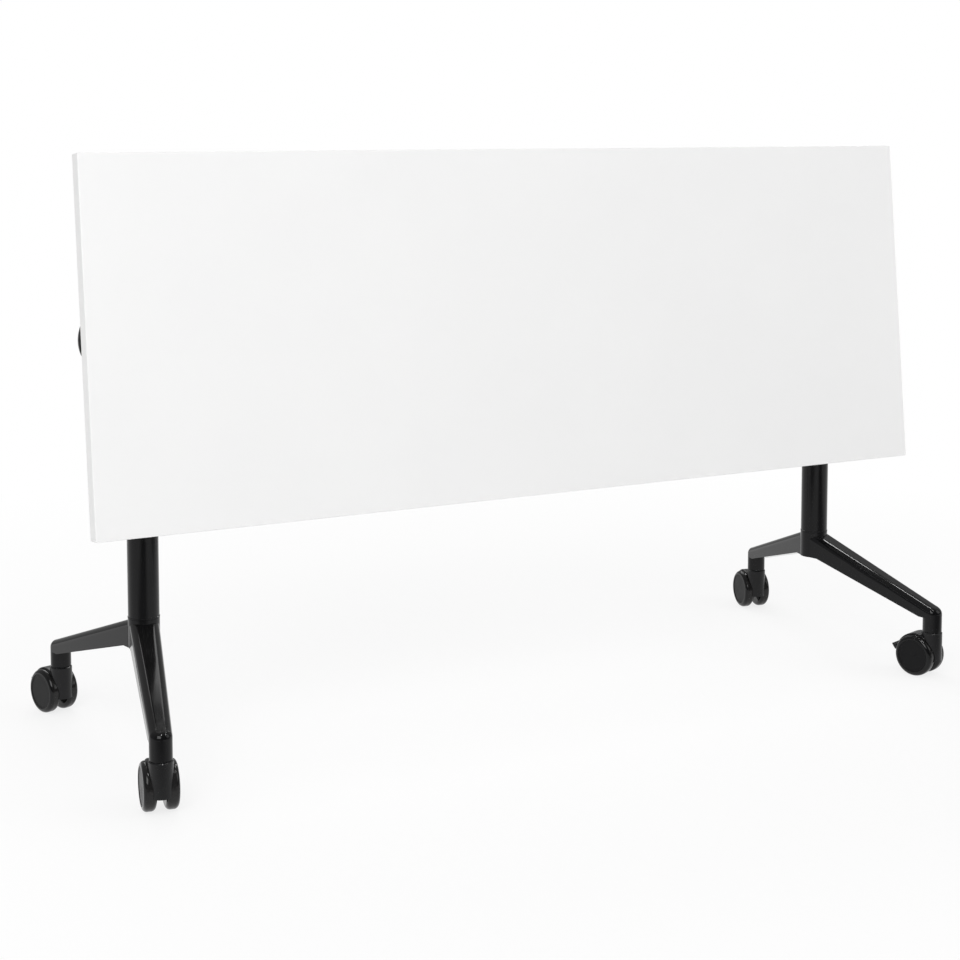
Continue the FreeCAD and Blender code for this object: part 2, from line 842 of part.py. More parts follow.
def crossbar_screw_places():
    """Where the crossbar screws go, from the middle of the bar."""
    reach = (column_span - size.head_width - size.crossbar_spigot) / 2
    half_pitch = size.crossbar_screw_pitch / 2
    return [(reach * side, half_pitch * level) for side in sides.values() for level in (-1, 1)]


crossbar()
frame_screw = turned("frame_screw", [
    (zero, -size.frame_screw_length),
    (size.frame_screw_dia / 2, -size.frame_screw_length),
    (size.frame_screw_dia / 2, zero),
    (size.frame_screw_head_dia / 2, zero),
    (size.frame_screw_head_dia / 2, size.frame_screw_head / 2),
    (size.frame_screw_head_dia / 4, size.frame_screw_head),
    (zero, size.frame_screw_head),
])
bar_face = column_y + size.crossbar_depth / 2
scattered("crossbar_screws", frame_screw, [
    spot(x, bar_face, hinge_z + crossbar_middle + z, ALONG_Y) for x, z in crossbar_screw_places()
])
scattered("head_screws", frame_screw, [
    spot(column_x(side), column_y + size.column_dia / 2, column_top - size.head_spigot / 2, ALONG_Y)
    for side in sides.values()
])


# Stop pads: rubber strips on the heads, under each ear, for the folded and for the open worktop.
def stop_pads():
    length = size.ear_thickness
    half = length / 2
    pads = []
    folded_start = head_nose
    open_end = head_back - size.fork_clear
    for line, pad_length, low in (
        (front_stop, size.front_pad_length, folded_start),
        (rear_stop, size.rear_pad_length, open_end - size.rear_pad_length),
    ):
        tilt = Rotation(Vector(1, 0, 0), math.degrees(math.atan(line.rise.value)))
        for side in sides.values():
            for ear in (-1, 1):
                x = column_x(side) + (ear_inner + half) * ear - half
                strip = box(
                    f"stop_pad_{len(pads)}", length, pad_length, size.stop_pad,
                    x, hinge_y + low, hinge_z + stop_height(line, low), tilt,
                )
                pads.append(strip)
    item = doc.addObject("Part::Compound", "stop_pad_set")
    item.Links = pads
    keep("stop_pads", item)


stop_pads()


# Brackets: steel plates screwed under the worktop, with two ears each for the hinge pin and release bar.
def bracket(name, side):
    body = new_body(f"{name}_steel")
    plate = sketch_on(body, "plate", "XY_Plane", plate_low)
    half_x = size.bracket_width / 2
    half_y = size.bracket_depth / 2
    add_outline(plate, rectangle(-half_x, half_x, -half_y, half_y))
    pad(body, plate, size.bracket_plate)

    def at_corner(edge):
        ends = [vertex.Point for vertex in edge.Vertexes]
        return abs(ends[0].z - ends[1].z) > SAME_PLACE

    round_edges(body, size.bracket_round, at_corner)
    inside = plate_low + size.bracket_plate / 2
    for way in (-1, 1):
        ear_name = "left_ear" if way < 0 else "right_ear"
        ear = sketch_on(body, ear_name, "YZ_Plane", ear_inner * way)
        add_outline(ear, [
            (-size.ear_front, plate_low),
            ear_front_low,
            ear_rear_low,
            ear_rear_tip,
            (bar_back + size.ear_rim, inside),
            (-size.ear_front, inside),
        ])
        pad(body, ear, size.ear_thickness, reverse=way < 0)
        boss = sketch_on(body, f"{ear_name}_boss", "YZ_Plane", ear_inner * way)
        add_circle(boss, (zero, zero), size.ear_boss_radius)
        pad(body, boss, size.ear_thickness, reverse=way < 0)
    holes = sketch_on(body, "holes", "YZ_Plane")
    add_circle(holes, (zero, zero), hinge_pin_radius + size.run_gap)
    add_circle(holes, (bar_back, size.bar_rise), size.bar_dia / 2 + size.run_gap)
    pocket_through(body, holes, size.bracket_width)
    screws = sketch_on(body, "screws", "XY_Plane", plate_low)
    screw_radius = size.bracket_screw_dia / 2 + size.slip_gap
    screw_x = half_x - size.bracket_screw_inset
    screw_y = half_y - size.bracket_screw_inset
    for along in (-1, 1):
        for across in (-1, 0, 1):
            add_circle(screws, (screw_x * along, screw_y * across), screw_radius)
    pocket_through(body, screws, size.bracket_plate * 2 + size.overrun)
    keep(name, on_top(body, column_x(side), zero, zero))


for side_name, side in sides.items():
    bracket(f"{side_name}_bracket", side)
bracket_screw = turned("bracket_screw", [
    (zero, -size.bracket_screw_head),
    (size.bracket_screw_head_dia / 3, -size.bracket_screw_head),
    (size.bracket_screw_head_dia / 2, -size.bracket_screw_head / 3),
    (size.bracket_screw_head_dia / 2, zero),
    (size.bracket_screw_dia / 2, zero),
    (size.bracket_screw_dia / 2, size.bracket_plate + size.bracket_screw_bite),
    (zero, size.bracket_plate + size.bracket_screw_bite),
])
scattered("bracket_screws", bracket_screw, [spot_on_top(x, y, plate_low) for x, y in bracket_screw_places()])


# Hinge pins turn with the worktop in bushes pressed into the heads.
def hinge_pin_master():
    shank = cylinder("hinge_pin_shank", hinge_pin_radius, ear_outer * 2 + size.nut_height, zero, zero, zero)
    hexagon = doc.addObject("Part::Prism", "hinge_pin_head")
    hexagon.Polygon = 6
    bind(hexagon, "Circumradius", size.pin_head_dia / 2)
    bind(hexagon, "Height", size.pin_head)
    place(hexagon, zero, zero, -size.pin_head)
    return fused("hinge_pin", [shank, hexagon])


def hinge_nut_master():
    hexagon = doc.addObject("Part::Prism", "hinge_nut_hexagon")
    hexagon.Polygon = 6
    bind(hexagon, "Circumradius", size.pin_head_dia / 2)
    bind(hexagon, "Height", size.nut_height)
    place(hexagon, zero, zero, zero)
    radius = hinge_pin_radius + size.run_gap
    hole_height = size.nut_height + size.overrun * 2
    hole = cylinder("hinge_nut_hole", radius, hole_height, zero, zero, -size.overrun)
    return cut("hinge_nut", hexagon, [hole])


bush_radius = hinge_pin_radius + size.bush_wall
bush_length = size.knuckle_width / 2 - size.face_gap
bush = turned("hinge_bush", [
    (hinge_pin_radius + size.run_gap, -bush_length),
    (bush_radius, -bush_length),
    (bush_radius, zero),
    (size.bush_flange_dia / 2, zero),
    (size.bush_flange_dia / 2, size.bush_flange),
    (hinge_pin_radius + size.run_gap, size.bush_flange),
])
pin_spots = []
nut_spots = []
bush_spots = []
for side in sides.values():
    x = column_x(side)
    outer = ear_outer * side
    away = ALONG_X if side == LEFT else ALONG_MINUS_X
    pin_spots.append(spot(x + outer, hinge_y, hinge_z, away))
    nut_spots.append(spot(x - outer, hinge_y, hinge_z, away))
    face = size.knuckle_width / 2
    bush_spots.append(spot(x + face, hinge_y, hinge_z, ALONG_X))
    bush_spots.append(spot(x - face, hinge_y, hinge_z, ALONG_MINUS_X))
scattered("hinge_pins", hinge_pin_master(), pin_spots)
scattered("hinge_nuts", hinge_nut_master(), nut_spots)
scattered("hinge_bushes", bush, bush_spots)


# Latch: hooks on the release bar catch the striker pins when the worktop lies open.
striker_pin = cylinder("striker_pin", size.striker_dia / 2, size.knuckle_width, zero, zero, zero)
scattered("striker_pins", striker_pin, [
    spot(column_x(side) - size.knuckle_width / 2, hinge_y + striker[0], hinge_z + striker[1], ALONG_X)
    for side in sides.values()
])
bar_length = column_span + size.bar_overhang * 2
release_bar = cylinder("release_bar_rod", size.bar_dia / 2, bar_length, zero, zero, zero)
keep("release_bar", on_top(release_bar, -bar_length / 2, bar_back, size.bar_rise, ALONG_X))


def hook_master():
    """A latch hook, with its eye round the bar at the origin and its tooth below, pointing back."""
    body = new_body("latch_hook_steel")
    striker_radius = size.striker_dia / 2
    drop = size.bar_rise - size.striker_rise
    inner = -striker_radius - size.hook_gap
    outer = inner - size.hook_shank
    tooth_top = -drop - striker_radius - size.hook_gap
    tooth_low = tooth_top - size.hook_tooth
    reach = size.hook_tooth_reach
    blade = sketch_on(body, "blade", "YZ_Plane")
    add_outline(blade, [
        (outer, zero),
        (outer, tooth_low),
        (zero, tooth_low),
        (reach, tooth_low + size.hook_tooth / 2),
        (reach, tooth_top),
        (inner, tooth_top),
        (inner, -size.hook_eye_radius),
        (zero, -size.hook_eye_radius),
        (zero, size.hook_eye_radius),
    ])
    pad(body, blade, size.hook_width, "Symmetric")
    eye = sketch_on(body, "eye", "YZ_Plane")
    add_circle(eye, (zero, zero), size.hook_eye_radius)
    pad(body, eye, size.hook_width, "Symmetric")
    hole = sketch_on(body, "hole", "YZ_Plane")
    add_circle(hole, (zero, zero), size.bar_dia / 2 + size.run_gap)
    pocket_through(body, hole, size.hook_width + size.overrun)
    return body


scattered("latch_hooks", hook_master(), [
    spot_on_top(column_x(side), bar_back, size.bar_rise) for side in sides.values()
])


def leaf_spring_master():
    """A bent strip under the bracket plate that leans on the front of the hook."""
    body = new_body("leaf_spring_strip")
    strip = size.spring_strip
    front = bar_back - size.striker_dia / 2 - size.hook_gap - size.hook_shank - size.face_gap
    knee = front - size.spring_seat / 2
    start = knee - size.spring_seat
    tip = size.bar_rise - size.hook_eye_radius - size.spring_strip
    bend = sketch_on(body, "bend", "YZ_Plane")
    add_outline(bend, [
        (start, plate_low),
        (knee, plate_low),
        (front, tip),
        (front - strip, tip),
        (knee - strip, plate_low - strip),
        (start, plate_low - strip),
    ])
    pad(body, bend, size.spring_width, "Symmetric")
    return body


scattered("leaf_springs", leaf_spring_master(), [
    spot_on_top(column_x(side), zero, zero) for side in sides.values()
])


# Handles: flat levers with a bowed outer end, clamped to both ends of the release bar.
def handle(name, side):
    body = new_body(f"{name}_lever")
    inner = size.handle_inner * side
    outer = size.handle_outer * side
    plan = sketch_on(body, "plan", "XY_Plane")
    low_x, high_x = (inner, outer) if side == RIGHT else (outer, inner)
    add_outline(plan, rectangle(low_x, high_x, -size.handle_length, zero))
    pad(body, plan, size.handle_thickness, "Symmetric")
    bow = sketch_on(body, "bow", "XY_Plane")
    middle = outer - size.handle_bow_radius * side
    reach = size.handle_bow_radius + size.overrun
    add_outline(bow, rectangle(
        middle - reach, middle + reach, -size.handle_bow_back - reach, reach - size.handle_bow_back
    ))
    add_circle(bow, (middle, -size.handle_bow_back), size.handle_bow_radius)
    pocket_through(body, bow, size.handle_thickness * 2)

    def corner_at(depth):
        def wanted(edge):
            """True for the upright edge at the outer corner of this depth."""
            ends = [vertex.Point for vertex in edge.Vertexes]
            upright = len(ends) == 2 and math.dist(ends[0][:2], ends[1][:2]) < SAME_PLACE
            outside = abs(ends[0].x - inner.value) > SAME_PLACE
            return upright and outside and abs(ends[0].y - depth.value) < SAME_PLACE

        return wanted

    round_edges(body, size.handle_inner_round, corner_at(-size.handle_length))
    round_edges(body, size.handle_outer_round, corner_at(zero))

    def on_rim(edge):
        """True for the edges round the lever's two flat faces, clear of the bar."""
        ends = [vertex.Point for vertex in edge.Vertexes]
        flat = abs(abs(ends[0].z) - size.handle_thickness.value / 2) < SAME_PLACE
        return flat and abs(ends[0].z - ends[-1].z) < SAME_PLACE

    round_edges(body, size.handle_edge_round, on_rim)
    hub = sketch_on(body, "hub", "YZ_Plane", inner)
    add_circle(hub, (zero, zero), size.handle_hub_radius)
    hub_length = size.bar_overhang - size.handle_inner + size.handle_edge_round
    pad(body, hub, hub_length, reverse=side == LEFT)
    hole = sketch_on(body, "hole", "YZ_Plane", inner)
    add_circle(hole, (zero, zero), size.bar_dia / 2 + size.run_gap)
    pocket_through(body, hole, (size.bar_overhang - size.handle_inner) * 2)
    fall = math.degrees(math.asin(SIZES["handle_drop"] / SIZES["handle_length"]))
    slant = Rotation(Vector(1, 0, 0), fall)
    keep(name, on_top(body, column_x(side), bar_back, size.bar_rise, slant))


for side_name, side in sides.items():
    handle(f"{side_name}_handle", side)


# Casters: each swivels about its stem; two wheels on one axle, with a brake pedal behind.
wheel_radius = size.wheel_dia / 2
neck_top = size.boss_bottom - size.stem_flange - size.face_gap
hood_radius = wheel_radius + size.hood_gap + size.hood_wall
wheel_inner = size.web_width / 2 + size.wheel_side_gap
wheel_outer = wheel_inner + size.wheel_width
face_floor = wheel_outer - size.face_recess
stem_radius = size.stem_dia / 2


def caster_place(corner):
    """Where a caster's swivel axis meets the floor, and which way the caster is turned."""
    side = LEFT if corner.startswith("left") else RIGHT
    way = 1 if corner.endswith("rear") else -1
    x = column_x(side) + size.foot_splay * side
    y = column_y + size.foot_reach * way
    return x, y, Rotation(Vector(0, 0, 1), CASTER_TURNS[corner])


def caster_housing(name):
    """Neck round the stem, web between the wheels and hood over them, in one moulding."""
    neck = turned(f"{name}_neck", [
        (zero, size.web_bottom),
        (size.neck_dia / 2, size.web_bottom),
        (size.neck_dia / 2, neck_top - size.neck_chamfer),
        (size.neck_dia / 2 - size.neck_chamfer, neck_top),
        (zero, neck_top),
    ])
    half_hood = size.hood_width / 2
    half_web = size.web_width / 2
    trail = size.caster_trail
    hood_disc = turned(f"{name}_hood_disc", [
        (zero, -half_hood),
        (hood_radius, -half_hood),
        (hood_radius, half_hood),
        (zero, half_hood),
    ])
    round_edges(hood_disc, size.hood_round, lambda edge: isinstance(edge.Curve, Part.Circle))
    place(hood_disc, zero, trail, wheel_radius, ALONG_X)
    back = trail + hood_radius
    hood_limit = box(
        f"{name}_hood_limit", size.hood_width, back, hood_radius, -half_hood, zero, size.hood_bottom
    )
    web_disc = cylinder(
        f"{name}_web_disc", hood_radius, size.web_width, -half_web, trail, wheel_radius, ALONG_X
    )
    web_height = wheel_radius + hood_radius
    web_limit = box(
        f"{name}_web_limit", size.web_width, size.web_back, web_height, -half_web, zero, size.web_bottom
    )
    blank = fused(f"{name}_blank", [
        neck,
        common(f"{name}_hood", [hood_disc, hood_limit]),
        common(f"{name}_web", [web_disc, web_limit]),
    ])
    well_radius = wheel_radius + size.hood_gap
    well_width = size.wheel_width + size.wheel_side_gap + size.overrun
    slot_half = size.pedal_slot / 2
    slot_height = size.hood_bottom + size.hood_wall - size.web_bottom + size.overrun
    bore_low = neck_top - size.stem_depth - size.face_gap
    bore_height = size.stem_depth + size.overrun
    pivot_bore = size.pedal_pivot_dia / 2 + size.run_gap
    pivot_back = size.pedal_pivot_back
    pivot_height = size.pedal_pivot_height
    axle_bore = size.axle_dia / 2 + size.run_gap / 2
    tools = [
        cylinder(f"{name}_well_a", well_radius, well_width, half_web, trail, wheel_radius, ALONG_X),
        cylinder(f"{name}_well_b", well_radius, well_width, -half_web, trail, wheel_radius, ALONG_MINUS_X),
        box(
            f"{name}_slot", size.pedal_slot, back, slot_height,
            -slot_half, size.pedal_slot_front, size.web_bottom - size.overrun,
        ),
        cylinder(f"{name}_stem_bore", stem_radius + size.run_gap, bore_height, zero, zero, bore_low),
        cylinder(f"{name}_axle_bore", axle_bore, size.hood_width, -half_hood, trail, wheel_radius, ALONG_X),
        cylinder(
            f"{name}_pivot_bore", pivot_bore, size.hood_width, -half_hood, pivot_back, pivot_height, ALONG_X
        ),
    ]
    return cut(f"{name}_moulding", blank, tools)


def caster_axle(name):
    half = face_floor - size.hood_gap / 2
    return cylinder(f"{name}_rod", size.axle_dia / 2, half * 2, zero, zero, zero)


def caster_wheel(name):
    """Wheel turned about its axle, with its tread edges rounded and its outer face let in."""
    bore = size.axle_dia / 2 + size.run_gap
    body = turned(f"{name}_turning", [
        (bore, wheel_inner),
        (wheel_radius, wheel_inner),
        (wheel_radius, wheel_outer),
        (size.face_dia / 2, wheel_outer),
        (size.face_dia / 2, face_floor),
        (bore, face_floor),
    ])

    def on_tread(edge):
        curve = edge.Curve
        return isinstance(curve, Part.Circle) and abs(curve.Radius - wheel_radius.value) < SAME_PLACE

    round_edges(body, size.wheel_round, on_tread)
    return body


def caster_face(name):
    """Flat disc in the wheel's outer face, with a low ring round its rim."""
    rim = size.face_dia / 2 - size.slip_gap
    ring = rim - size.face_ring
    flat = face_floor + size.face_thickness
    top = flat + size.face_ring_height
    return turned(f"{name}_disc", [
        (zero, face_floor),
        (rim, face_floor),
        (rim, flat),
        (rim - size.face_ring_height, top),
        (ring, top),
        (ring - size.face_ring_height, flat),
        (zero, flat),
    ])


def brake_pedal(name):
    """Pedal with a narrow neck between the wheels and a wide toe plate behind them."""
    body = new_body(f"{name}_moulding")
    pivot = (size.pedal_pivot_back, size.pedal_pivot_height)
    half_depth = size.pedal_neck_depth / 2
    reach = size.pedal_tip - pivot[0]
    heel = pivot[0] - half_depth
    lift = size.pedal_rise
    top = pivot[1] + half_depth
    low = pivot[1] - half_depth
    neck = sketch_on(body, "neck", "YZ_Plane")
    add_outline(neck, [
        (heel, pivot[1] - half_depth * PEDAL_HEEL_SHARE),
        (pivot[0], low),
        (size.pedal_start, low + lift),
        (size.pedal_start, top),
        (pivot[0], top),
        (heel, pivot[1] + half_depth * PEDAL_HEEL_SHARE),
    ])
    pad(body, neck, size.pedal_slot - size.face_gap * 2, "Symmetric")
    toe = sketch_on(body, "toe", "YZ_Plane")
    waist = reach * PEDAL_WAIST_SHARE
    add_outline(toe, [
        (size.pedal_start, low + lift),
        (size.pedal_start + waist, low + lift),
        (size.pedal_tip, top - lift),
        (size.pedal_tip, top),
        (size.pedal_start, top),
    ])
    pad(body, toe, size.pedal_width, "Symmetric")

    def on_toe(edge):
        """True for the edges of the toe plate behind its joint with the neck."""
        ends = [vertex.Point for vertex in edge.Vertexes]
        return min(point.y for point in ends) > size.pedal_start.value + SAME_PLACE

    round_edges(body, size.pedal_round, on_toe)
    trunnion = sketch_on(body, "trunnion", "YZ_Plane")
    add_circle(trunnion, pivot, size.pedal_pivot_dia / 2)
    pad(body, trunnion, size.web_width - size.face_gap, "Symmetric")
    return body


def caster(corner):
    x, y, turn = caster_place(corner)
    name = f"{corner}_caster"
    keep(f"{name}_housing", place(caster_housing(name), x, y, zero, turn))
    keep(f"{name}_pedal", place(brake_pedal(f"{name}_pedal"), x, y, zero, turn))
    across = turn.multVec(Vector(1, 0, 0))
    axle_x = x - size.caster_trail * across.y
    axle_y = y + size.caster_trail * across.x
    half = face_floor - size.hood_gap / 2
    axle = caster_axle(f"{name}_axle")
    place(axle, axle_x - half * across.x, axle_y - half * across.y, wheel_radius, turn.multiply(ALONG_X))
    keep(f"{name}_axle", axle)
    for wheel_name, facing in (("left", ALONG_MINUS_X), ("right", ALONG_X)):
        for part_name, made in (("wheel", caster_wheel), ("disc", caster_face)):
            label = f"{name}_{wheel_name}_{part_name}"
            keep(label, place(made(label), axle_x, axle_y, wheel_radius, turn.multiply(facing)))


for corner in CASTER_TURNS:
    caster(corner)
stem = turned("caster_stem", [
    (zero, neck_top - size.stem_depth),
    (stem_radius, neck_top - size.stem_depth),
    (stem_radius, size.boss_bottom - size.stem_flange),
    (size.stem_flange_dia / 2, size.boss_bottom - size.stem_flange),
    (size.stem_flange_dia / 2, size.boss_bottom),
    (size.stem_thread_dia / 2, size.boss_bottom),
    (size.stem_thread_dia / 2, size.boss_bottom + size.stem_thread),
    (zero, size.boss_bottom + size.stem_thread),
])
stem_spots = []
for corner in CASTER_TURNS:
    x, y, turn = caster_place(corner)
    stem_spots.append(spot(x, y, zero))
scattered("caster_stems", stem, stem_spots)

# Nothing is written unless every object came out sound.
doc.recompute()
for item in doc.Objects:
    if "Invalid" in item.State or "Error" in item.State:
        raise ValueError(f"{item.Label} failed: {item.State}")
for name, item in pieces.items():
    if item.Shape.isNull() or not item.Shape.isValid():
        raise ValueError(f"{name} has no sound shape")
os.makedirs("parts", exist_ok=True)
for name, item in pieces.items():
    item.Shape.exportStep(f"parts/{name}.step")
print(len(pieces), "pieces written")
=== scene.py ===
import json
import math

import bpy
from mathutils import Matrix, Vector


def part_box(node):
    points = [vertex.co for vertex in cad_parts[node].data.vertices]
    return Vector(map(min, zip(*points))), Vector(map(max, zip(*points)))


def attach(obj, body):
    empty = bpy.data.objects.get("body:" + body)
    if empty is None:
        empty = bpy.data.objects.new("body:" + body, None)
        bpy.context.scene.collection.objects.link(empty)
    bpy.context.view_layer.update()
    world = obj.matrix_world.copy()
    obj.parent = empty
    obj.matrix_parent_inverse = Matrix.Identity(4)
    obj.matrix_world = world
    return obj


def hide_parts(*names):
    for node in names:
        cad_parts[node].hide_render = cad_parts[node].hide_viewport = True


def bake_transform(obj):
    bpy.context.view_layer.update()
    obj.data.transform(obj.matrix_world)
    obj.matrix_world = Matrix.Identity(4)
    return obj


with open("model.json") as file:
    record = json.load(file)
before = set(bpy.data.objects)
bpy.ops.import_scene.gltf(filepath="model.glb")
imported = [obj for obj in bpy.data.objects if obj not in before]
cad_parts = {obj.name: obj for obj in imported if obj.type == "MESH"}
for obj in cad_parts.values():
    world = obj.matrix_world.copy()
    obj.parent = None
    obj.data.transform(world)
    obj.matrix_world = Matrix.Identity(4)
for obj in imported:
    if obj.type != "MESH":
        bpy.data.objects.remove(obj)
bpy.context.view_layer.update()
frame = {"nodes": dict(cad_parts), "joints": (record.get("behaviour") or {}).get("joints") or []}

# Feet: one aluminium casting each, a hub with two sloping arms, ground smooth and sprayed gloss black.
# The sprayed coat has a faint orange-peel ripple, is rubbed thin along sharp edges, and a little dust
# settles on what faces up.
def wire(tree, node, inputs):
    """Sets each named input of a node to a number or colour, or links it to another node's output."""
    for name, value in inputs.items():
        if isinstance(value, bpy.types.NodeSocket):
            tree.links.new(value, node.inputs[name])
        else:
            node.inputs[name].default_value = value


def add_node(tree, kind, output, inputs, **settings):
    """Adds a node with its settings and inputs, and gives back the output that the next node takes."""
    node = tree.nodes.new("ShaderNode" + kind)
    for setting, value in settings.items():
        setattr(node, setting, value)
    wire(tree, node, inputs)
    return node.outputs[output]


def new_finish(name):
    """A material with its node tree and its shader."""
    material = bpy.data.materials.new(name)
    material.use_nodes = True
    return material, material.node_tree, material.node_tree.nodes["Principled BSDF"]


def sprayed_coat(name, colour, gloss, peel_mm, peel_depth_mm, dust):
    """Black coat on metal: rippled by the spray gun, slightly uneven in gloss, rubbed at edges, dusty on top."""
    material, tree, shader = new_finish(name)
    place = add_node(tree, "TexCoord", "Object", {})
    peel = add_node(tree, "TexNoise", "Fac", {"Vector": place, "Scale": 1000 / peel_mm, "Detail": 1.5})
    ripple = add_node(
        tree, "Bump", "Normal", {"Height": peel, "Strength": 0.4, "Distance": peel_depth_mm / 1000}
    )
    haze = add_node(tree, "TexNoise", "Fac", {"Vector": place, "Scale": 24, "Detail": 6})
    sprayed_gloss = add_node(tree, "MapRange", "Result", {
        "Value": haze, "From Min": 0.3, "From Max": 0.7, "To Min": gloss[0], "To Max": gloss[1],
    })
    # An edge is where the normal, rounded off over a millimetre or so, turns away from the face's own.
    facing = add_node(tree, "NewGeometry", "Normal", {})
    rounded = add_node(tree, "Bevel", "Normal", {"Radius": 0.0012}, samples=4)
    turn = add_node(tree, "VectorMath", "Value", {0: rounded, 1: facing}, operation="DOT_PRODUCT")
    edge = add_node(tree, "MapRange", "Result", {"Value": turn, "From Min": 0.95, "From Max": 0.78})
    chance = add_node(tree, "TexNoise", "Fac", {"Vector": place, "Scale": 70, "Detail": 5})
    patches = add_node(tree, "MapRange", "Result", {"Value": chance, "From Min": 0.45, "From Max": 0.7})
    rub = add_node(tree, "Math", "Value", {0: edge, 1: patches}, operation="MULTIPLY")
    dulled_gloss = add_node(
        tree, "Math", "Value", {0: rub, 1: 0.25, 2: sprayed_gloss}, operation="MULTIPLY_ADD"
    )
    upward = add_node(tree, "SeparateXYZ", "Z", {"Vector": facing})
    settled = add_node(tree, "MapRange", "Result", {"Value": upward, "From Min": 0.5, "To Max": dust})
    patchy = add_node(tree, "Math", "Value", {0: settled, 1: haze}, operation="MULTIPLY")
    dusted = add_node(tree, "Mix", "Result", {
        "Factor": patchy, "A": (*colour, 1), "B": (0.32, 0.31, 0.29, 1),
    }, data_type="RGBA")
    rubbed = add_node(tree, "Mix", "Result", {
        "Factor": rub, "A": dusted, "B": (0.03, 0.03, 0.032, 1),
    }, data_type="RGBA")
    wire(tree, shader, {
        "Base Color": rubbed, "Roughness": dulled_gloss, "Normal": ripple, "Specular IOR Level": 0.22,
    })
    return material


def finish_nodes(material, names):
    """Gives the CAD nodes of these names one material."""
    for name in names:
        materials = frame["nodes"][name].data.materials
        materials.clear()
        materials.append(material)


gloss_black = sprayed_coat(
    "gloss_black_coat", colour=(0.0035, 0.0035, 0.004), gloss=(0.05, 0.12),
    peel_mm=7, peel_depth_mm=0.012, dust=0.03,
)
finish_nodes(gloss_black, ["left_foot", "right_foot"])

# Columns: round steel tube, powder-coated black, standing on the feet with a thin glossy collar at the seam.
# A bolt from below runs up through the foot into a steel plug inside the tube.
tube_black = sprayed_coat(
    "tube_black_coat", colour=(0.0035, 0.0035, 0.004), gloss=(0.08, 0.17),
    peel_mm=4, peel_depth_mm=0.03, dust=0.03,
)
finish_nodes(tube_black, ["left_column", "right_column"])
finish_nodes(gloss_black, ["left_collar", "right_collar"])


def zinc_plate(name, colour, gloss):
    """Zinc-plated steel: a bright bluish skin with cloudy spangle and fine pits."""
    material, tree, shader = new_finish(name)
    place = add_node(tree, "TexCoord", "Object", {})
    cloud = add_node(tree, "TexNoise", "Fac", {"Vector": place, "Scale": 160, "Detail": 4})
    cloudy_gloss = add_node(
        tree, "MapRange", "Result", {"Value": cloud, "To Min": gloss[0], "To Max": gloss[1]}
    )
    spangle = add_node(tree, "TexVoronoi", "Distance", {"Vector": place, "Scale": 420})
    shade = (colour[0] * 0.8, colour[1] * 0.82, colour[2] * 0.84, 1)
    tint = add_node(
        tree, "Mix", "Result", {"Factor": spangle, "A": (*colour, 1), "B": shade}, data_type="RGBA"
    )
    pits = add_node(tree, "Bump", "Normal", {"Height": cloud, "Strength": 0.25, "Distance": 0.00003})
    wire(tree, shader, {"Base Color": tint, "Roughness": cloudy_gloss, "Normal": pits, "Metallic": 1.0})
    return material


bright_zinc = zinc_plate("bright_zinc", colour=(0.62, 0.64, 0.66), gloss=(0.22, 0.42))
finish_nodes(bright_zinc, ["column_plugs", "foot_bolts"])

# Hinge heads: black castings pushed into the column tops, each with a knuckle, a latch fork and a spigot.
# Nylon bushes line the knuckle, a steel pin is the latch's striker, rubber strips are the stops.
# A button-head socket screw from behind holds each head in its column.
finish_nodes(gloss_black, ["left_hinge_head", "right_hinge_head"])
finish_nodes(bright_zinc, ["striker_pins"])


def moulded_plastic(name, colour, gloss, grain_mm, grain_depth_mm, paler=1.5):
    """Moulded plastic: a fine spark-eroded grain from the mould, a shade paler where it was handled."""
    material, tree, shader = new_finish(name)
    place = add_node(tree, "TexCoord", "Object", {})
    grain = add_node(tree, "TexNoise", "Fac", {"Vector": place, "Scale": 1000 / grain_mm, "Detail": 3})
    relief = add_node(
        tree, "Bump", "Normal", {"Height": grain, "Strength": 0.6, "Distance": grain_depth_mm / 1000}
    )
    handled = add_node(tree, "TexNoise", "Fac", {"Vector": place, "Scale": 45, "Detail": 5})
    handled_gloss = add_node(tree, "MapRange", "Result", {
        "Value": handled, "From Min": 0.3, "From Max": 0.7, "To Min": gloss[0], "To Max": gloss[1],
    })
    worn = (*[part * paler for part in colour], 1)
    tint = add_node(
        tree, "Mix", "Result", {"Factor": handled, "A": (*colour, 1), "B": worn}, data_type="RGBA"
    )
    wire(tree, shader, {
        "Base Color": tint, "Roughness": handled_gloss, "Normal": relief, "Specular IOR Level": 0.28,
    })
    return material


bush_nylon = moulded_plastic(
    "bush_nylon", colour=(0.7, 0.68, 0.62), gloss=(0.4, 0.5), grain_mm=0.8, grain_depth_mm=0.02, paler=1.06
)
finish_nodes(bush_nylon, ["hinge_bushes"])
stop_rubber = moulded_plastic(
    "stop_rubber", colour=(0.02, 0.02, 0.02), gloss=(0.75, 0.9), grain_mm=0.3, grain_depth_mm=0.05
)
finish_nodes(stop_rubber, ["stop_pads"])


def select_faces(piece, wanted):
    """Selects the faces of a piece that is in edit mode, by their place or normal."""
    bpy.ops.mesh.select_mode(type="FACE")
    bpy.ops.mesh.select_all(action="DESELECT")
    bpy.ops.object.mode_set(mode="OBJECT")
    for face in piece.data.polygons:
        face.select = wanted(face)
    bpy.ops.object.mode_set(mode="EDIT")


